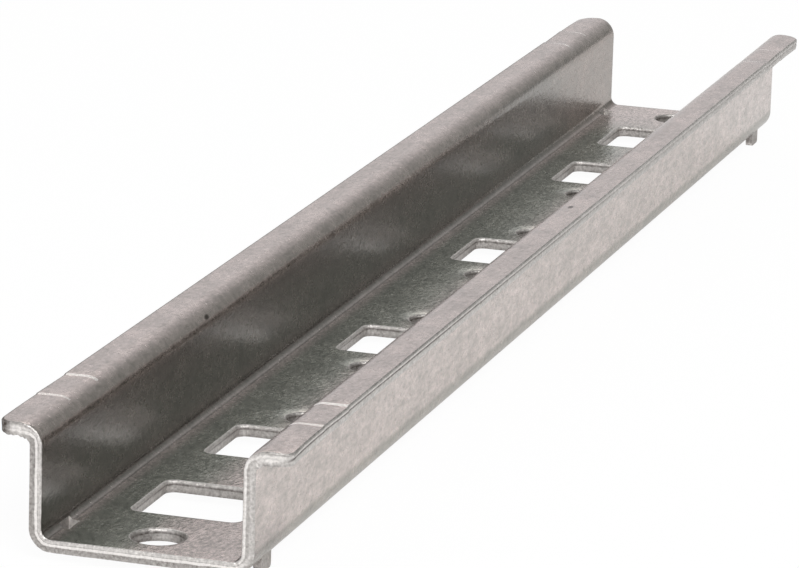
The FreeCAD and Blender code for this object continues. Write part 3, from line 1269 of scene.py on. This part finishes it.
    def paint_shade_light_and_chips(self, graph: Graph, place: Value, masks: dict[str, Value], skin: Value) -> Value:
        """Multiply the coating's colour by each region's painted shade and light, and chip it.

        Args:
            graph: the material's graph.
            place: place in millimetres.
            masks: each region's mask.
            skin: the coating's colour.

        Returns:
            The colour with its painted shade and light, and chipped.
        """
        # Painted shade darkens the floor's left half, the walls' inner faces (less towards the far
        # end), the outside of the lower bends and the walls above the near tabs; painted light
        # lifts a line where the floor meets the bend and the walls' inner tops towards the near end
        wall = graph.mix(masks["far_wall_shade"], self.wall, self.wall_end)
        walls = (masks["channel"] - masks["floor"]) * (1 - masks["seam_highlight"] * self.seam_highlight)
        for mask, tint in ((masks["left_floor_shade"], self.floor), (walls, wall),
                           (masks["crease_highlight"], self.crease_highlight), (masks["heel"], self.heel),
                           (masks["bend"], self.bend)):
            skin = graph.mix(mask, skin, tint, "MULTIPLY")
        drawn = graph.scaled(place, (self.chip_draw, 1.0, 1.0))
        for x, y, z in self.chips:
            away = graph.value("ShaderNodeVectorMath", 1, {"operation": "DISTANCE"},
                               {0: drawn, 1: (x * self.chip_draw, y, z)})
            skin = graph.mix(away.ramp(*self.chip_edge), skin, self.dark)
        return skin

    def material(self) -> bpy.types.Material:
        """Build the material.

        Each grain has its own tone, a fine noise specks it, a coarse one clouds it and one
        drawn out along the rail streaks it.  Pits on the channel's floor and blotches on the
        outside of the walls are added by their regions' masks, and the regions' painted shade
        and light are multiplied in.  The same patterns raise the surface.  On cut metal the
        mesh's own tone leads from dark to bright steel.

        Returns:
            The material.
        """
        material = bpy.data.materials.new(SLOT_NAME)
        material.use_nodes = True
        graph = Graph(material.node_tree)
        place = graph.scaled(graph.value("ShaderNodeTexCoord", "Object"), (1 / MM,) * 3)
        masks = self.masks(graph, place)
        floor = masks["floor"]
        grain = self.grain(graph, place)
        speck, cloud, streak, pits, blotch, torn = [
            pattern.build(graph, place) for pattern in
            (self.speck, self.cloud, self.streak, self.pits, self.blotch, self.torn)]
        tone = (0.5 + (grain - 0.5) * self.grain_tone + (speck - 0.5) * self.speck.tone
                + (cloud - 0.5) * self.cloud.tone + (streak - 0.5) * self.streak.tone
                + (pits - 0.5) * floor * self.pits.tone
                + (blotch - 0.5) * masks["outside"] * self.blotch.tone)
        skin = graph.mix(tone.at_most(1).at_least(0), self.dull, self.zinc)
        skin = self.paint_shade_light_and_chips(graph, place, masks, skin)

        cut = graph.attribute("cut")
        cut_tone = graph.attribute("tone") + (torn - 0.5) * self.torn.tone
        steel = graph.mix(cut_tone.at_most(1).at_least(0), self.dark, self.bright)

        height = (grain * self.grain_relief + speck * self.speck.relief
                  + pits * floor * self.pits.relief + torn * cut * self.torn.relief)
        bump = graph.value("ShaderNodeBump", 0, None,
                           {"Strength": 1.0, "Distance": self.relief, "Height": height})
        rough = (self.skin_roughness + (grain - 0.5) * self.grain_matt
                 + (cloud - 0.5) * self.cloud.matt
                 + cut * (self.cut_roughness - self.skin_roughness))
        shader = graph.node("ShaderNodeBsdfPrincipled", None,
                            {"Base Color": graph.mix(cut, skin, steel), "Roughness": rough,
                             "Metallic": 1 - floor * self.floor_matt, "Normal": bump})
        graph.node("ShaderNodeOutputMaterial", None, {"Surface": shader.outputs[0]})
        return material


@dataclass(frozen=True)
class Lamp:
    """A soft rectangular lamp that looks at the rail's middle.

    Args:
        name: its name.
        place: where it stands.
        width: its width and height.
        power: its power in watts.
    """

    name: str
    place: Colour
    width: float
    power: float

    def build(self) -> None:
        """Add the lamp to the scene."""
        light = bpy.data.lights.new(self.name, "AREA")
        light.shape = "SQUARE"
        light.size = self.width
        light.energy = self.power
        lamp = add_object(self.name, light)
        lamp.location = self.place
        lamp.rotation_euler = Vector(self.place).to_track_quat("Z", "Y").to_euler()


@dataclass(frozen=True)
class Studio:
    """Plain pale floor, soft light and the camera at the photograph's angle.

    Args:
        floor_level: Z of what the rail stands on.
        floor_half: half the side of the floor.
        floor_colour: colour of the floor.
        floor_glow: share of the floor's colour that the camera sees unlit.
        mirror_glow: the same share in reflections, of the camera's.
        pale: light of the left side, dim of the right side and overhead of the top.
        window: light of the window.
        left_span: where the dome turns from dim to pale, as a part of the direction.
        top_span: the same for where it turns to the overhead light.
        window_spans: the window's four soft edges: its near one along the rail, its right
            one, its lower and its upper one.
        lamps: the lamps.
        camera_place: where the camera stands, camera_right and camera_up how it is turned.
        camera_lens: its focal length in millimetres.
    """

    floor_level: float
    floor_half: float = 6.0
    floor_colour: Colour = (0.92, 0.92, 0.92)
    floor_glow: float = 0.96
    mirror_glow: float = 0.1
    pale: Colour = (0.705, 0.69, 0.70)
    dim: Colour = (0.281, 0.29, 0.277)
    overhead: Colour = (0.24, 0.26, 0.26)
    window: Colour = (2.2, 2.15, 2.1)
    left_span: Span = (-0.40, 0.14)
    top_span: Span = (0.50, 1.0)
    window_spans: tuple[Span, ...] = ((0.35, 0.50), (-0.02, 0.12), (0.52, 0.60), (0.84, 0.76))
    lamps: tuple[Lamp, ...] = (Lamp("front_lamp", (-1.3, -0.9, 1.5), 1.2, 43.0),)
    camera_place: Colour = (-0.66471, -0.19360, 0.18161)
    camera_right: Colour = (0.297503, -0.954262, 0.029604)
    camera_up: Colour = (0.230185, 0.101787, 0.967809)
    camera_lens: float = 240.303

    def floor(self) -> None:
        """Add the floor, one flat square, which glows for the camera and in reflections."""
        reach = self.floor_half
        corners = [(-reach, -reach), (reach, -reach), (reach, reach), (-reach, reach)]
        mesh = bpy.data.meshes.new("studio_floor")
        mesh.from_pydata([(x, y, self.floor_level) for x, y in corners], [], [(0, 1, 2, 3)])
        piece = add_object("studio_floor", mesh)
        material = bpy.data.materials.new("studio_floor")
        material.use_nodes = True
        graph = Graph(material.node_tree)
        path = graph.node("ShaderNodeLightPath")
        camera, glossy, passed = [Value(graph, path.outputs[f"Is {kind} Ray"])
                                  for kind in ("Camera", "Glossy", "Transmission")]
        seen = camera + passed + glossy * self.mirror_glow
        matt = graph.node("ShaderNodeBsdfDiffuse", None, {"Color": (*self.floor_colour, 1.0)})
        glow = graph.node("ShaderNodeEmission", None, {"Strength": 1.0})
        both = graph.node("ShaderNodeMixShader", None,
                          {0: seen.at_most(1) * self.floor_glow, 1: matt.outputs[0],
                           2: glow.outputs[0]})
        graph.node("ShaderNodeOutputMaterial", None, {"Surface": both.outputs[0]})
        mesh.materials.append(material)

    def sky(self) -> None:
        """Light the scene by a dome, pale on the left and dim on the right and overhead.

        A window high up behind the rail's far end shows in what slopes towards the camera.
        """
        world = bpy.data.worlds.new("studio")
        bpy.context.scene.world = world
        world.use_nodes = True
        graph = Graph(world.node_tree)
        ahead, left, height = graph.split(graph.value("ShaderNodeTexCoord", "Generated"))
        wall = graph.mix(left.ramp(*self.left_span), self.dim, self.pale)
        colour = graph.mix(height.ramp(*self.top_span), wall, self.overhead)
        edges = [way.ramp(*span) for way, span in
                 zip((ahead, left, height, height), self.window_spans)]
        pane = math.prod(edges[1:], start=edges[0])
        colour = graph.mix(pane, colour, self.window)
        glow = graph.node("ShaderNodeBackground", None, {"Color": colour, "Strength": 1.0})
        graph.node("ShaderNodeOutputWorld", None, {"Surface": glow.outputs[0]})

    def camera(self) -> None:
        """Add the camera from its place and its right and up directions."""
        right, up = Vector(self.camera_right), Vector(self.camera_up)
        back = right.cross(up)
        turn = Matrix((right, up, back)).transposed().to_4x4()
        data = bpy.data.cameras.new("photo_camera")
        data.sensor_width = 36.0
        data.lens = self.camera_lens
        data.clip_start = 0.01
        data.clip_end = 50.0
        camera = add_object("photo_camera", data)
        camera.matrix_world = Matrix.Translation(self.camera_place) @ turn
        bpy.context.scene.camera = camera

    def build(self) -> None:
        """Set the whole studio up."""
        self.floor()
        self.sky()
        for lamp in self.lamps:
            lamp.build()
        self.camera()
        bpy.context.scene.view_settings.view_transform = "Standard"


def rail_from_frame() -> Rail:
    """Work out the rail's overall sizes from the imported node.

    Returns:
        The rail.
    """
    low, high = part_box(NODE)
    section = Section(half_width=high.y, half_channel=13.5 * MM, height=high.z)
    return Rail(half_length=high.x, section=section, drop=-low.z)


def main() -> None:
    """Build and dress the rail, then the studio, and note the sizes."""
    logging.basicConfig(level=logging.INFO, format="%(name)s: %(message)s")
    rail = rail_from_frame()
    piece = rail.build()
    rail.dress(piece, GalvanisedSteel())
    LOG.info("dressed %s in %s", piece.name, SLOT_NAME)
    Studio(floor_level=-rail.drop).build()
    LOG.info("studio ready")


if __name__ == "__main__":
    main()
